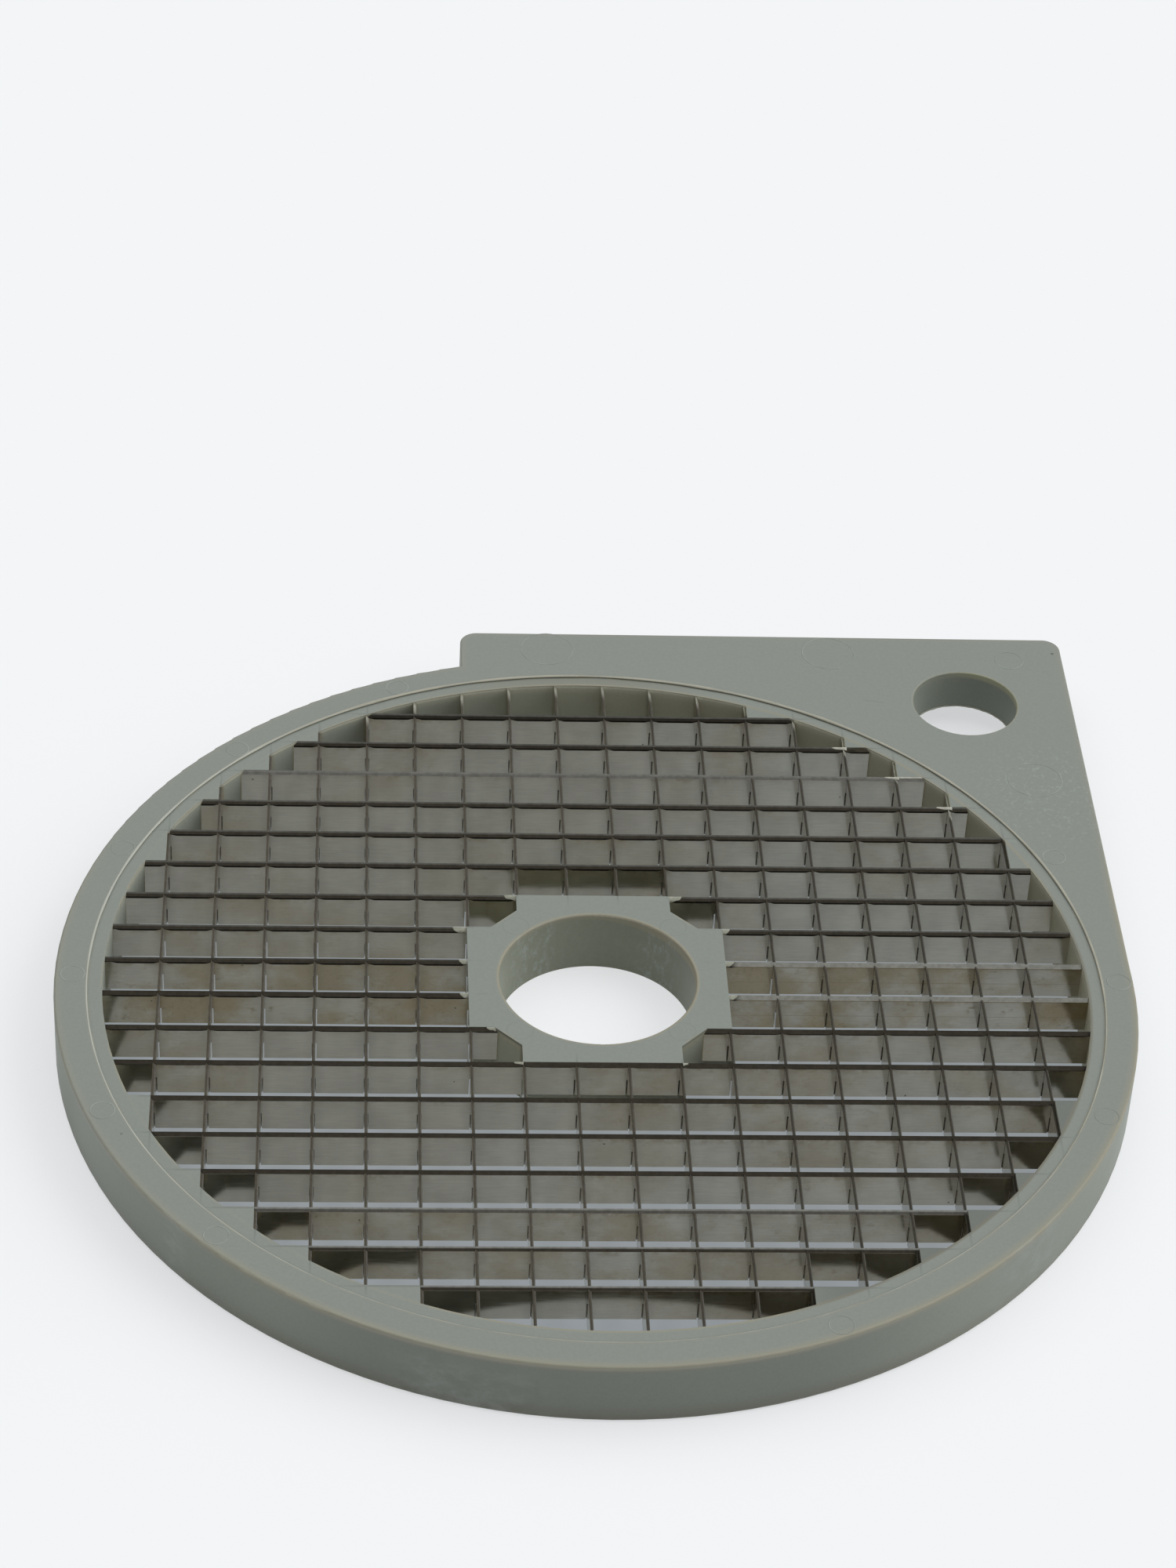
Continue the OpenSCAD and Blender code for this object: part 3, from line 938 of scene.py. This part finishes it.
piece("lap_fillings", lap_fillings(), lap_grime(), smooth=False)
bead = ridge_round((0, 0), LAND_R + 0.14, half_wide=0.36, high=0.22, z=LAND_Z - 0.08,
                   around=540, waver=0.35, slim=0.8)
piece("step_bead", [bead], bead_plastic())
hole_ridge = ridge_round(HOLE, HOLE_R - 0.04, half_wide=0.16, high=0.14, z=TAB_Z + 0.1,
                         around=144, waver=0.5)
piece("hole_flash", [hole_ridge], flash)
pin_rings = [ridge_round(centre, radius, half_wide=0.12, high=0.045, z=LAND_Z)
             for centre, radius in TAB_PINS + [ring_pin(n) for n in RING_PINS_SHOWN]]
piece("pin_marks", pin_rings, pin_plastic())

# Floor, light and camera: the floor and the camera are placed in metres
PALE = (0.925, 0.94, 0.955, 1.0)
# Painted shadow on the floor card under the lattice
SHADE_CARD = (0.365, 0.40, 0.425, 1.0)
WHITE = (1.0, 1.0, 1.0, 1.0)
FLOOR_HALF = 8.0
FLOOR_Z = -0.0001
CARD_INNER_R = 22
CARD_OUTER_R = 101
CARD_GLOW = 0.6
AMBIENT = 0.29
CAMERA_PLACE = (-0.050091, -0.614158, 0.536387)
CAMERA_TURN = (52.29588, -2.56455, -2.30391)
CAMERA_LENS = 95.1225
CAMERA_SENSOR = 36.0
CAMERA_NEAREST = 0.05
CAMERA_FARTHEST = 50.0


def seen_directly(tree):
    """One for rays from the camera, a reflection or glass, nothing for rays that light."""
    path = tree.nodes.new("ShaderNodeLightPath")
    total = path.outputs["Is Camera Ray"]
    for ray in ("Is Glossy Ray", "Is Transmission Ray"):
        most = tree.nodes.new("ShaderNodeMath")
        most.operation = "MAXIMUM"
        tree.links.new(total, most.inputs[0])
        tree.links.new(path.outputs[ray], most.inputs[1])
        total = most.outputs[0]
    return total


def floor_card():
    """Pale card, with a darker ring under the lattice that is a painted shadow. It glows a little
    where it is seen, so that its shadows stay pale."""
    finish = Finish("floor_card", PALE)
    # painted shadow under the lattice
    finish.paint(SHADE_CARD, finish.band(finish.r, CARD_INNER_R, CARD_OUTER_R, soft=1.0))
    finish.shader.inputs["Specular IOR Level"].default_value = 0.0
    glow = finish.tree.nodes.new("ShaderNodeEmission")
    finish.feed(glow.inputs["Color"], finish.colour)
    both = finish.tree.nodes.new("ShaderNodeMixShader")
    finish.feed(both.inputs[0], finish.mul(seen_directly(finish.tree), CARD_GLOW))
    finish.feed(both.inputs[1], finish.shader.outputs[0])
    finish.feed(both.inputs[2], glow.outputs[0])
    finish.feed(finish.tree.nodes["Material Output"].inputs["Surface"], both.outputs[0])
    return finish.done(roughness=1.0)


def studio():
    """White light from all round, and pale card behind what is seen directly."""
    world = bpy.data.worlds.new("studio")
    bpy.context.scene.world = world
    world.use_nodes = True
    tree = world.node_tree
    ambient = tree.nodes["Background"]
    ambient.inputs["Color"].default_value = WHITE
    ambient.inputs["Strength"].default_value = AMBIENT
    seen = tree.nodes.new("ShaderNodeBackground")
    seen.inputs["Color"].default_value = PALE
    blend = tree.nodes.new("ShaderNodeMixShader")
    tree.links.new(seen_directly(tree), blend.inputs[0])
    tree.links.new(ambient.outputs[0], blend.inputs[1])
    tree.links.new(seen.outputs[0], blend.inputs[2])
    tree.links.new(blend.outputs[0], tree.nodes["World Output"].inputs["Surface"])


def softbox(name, towards, strength, spread):
    """A wide soft sun that shines from the given side, its spread in degrees."""
    lamp = bpy.data.lights.new(name, "SUN")
    lamp.energy = strength * pi
    lamp.angle = radians(spread)
    obj = bpy.data.objects.new(name, lamp)
    obj.rotation_euler = Vector(towards).to_track_quat("Z", "Y").to_euler()
    bpy.context.scene.collection.objects.link(obj)


def lay_floor():
    """The card under the plate, a hair below it."""
    mesh = bpy.data.meshes.new("floor")
    corners = [(x * FLOOR_HALF, y * FLOOR_HALF, 0) for x, y in SQUARE]
    mesh.from_pydata(corners, [], [(0, 1, 2, 3)])
    mesh.materials.append(floor_card())
    floor = bpy.data.objects.new("floor", mesh)
    floor.location.z = FLOOR_Z
    bpy.context.scene.collection.objects.link(floor)


def place_camera():
    """The photograph's camera, solved from the crossings of the blades."""
    lens = bpy.data.cameras.new("camera")
    lens.sensor_fit = "AUTO"
    lens.sensor_width = CAMERA_SENSOR
    lens.lens = CAMERA_LENS
    lens.clip_start = CAMERA_NEAREST
    lens.clip_end = CAMERA_FARTHEST
    camera = bpy.data.objects.new("camera", lens)
    camera.location = CAMERA_PLACE
    camera.rotation_euler = [radians(turn) for turn in CAMERA_TURN]
    bpy.context.scene.collection.objects.link(camera)
    bpy.context.scene.camera = camera


lay_floor()
studio()
softbox("overhead_softbox", towards=(0.0, 0.25, 1.0), strength=0.385, spread=90)
softbox("right_softbox", towards=(0.8, 0.02, 0.6), strength=0.44, spread=60)
place_camera()
bpy.context.scene.view_settings.view_transform = "Standard"
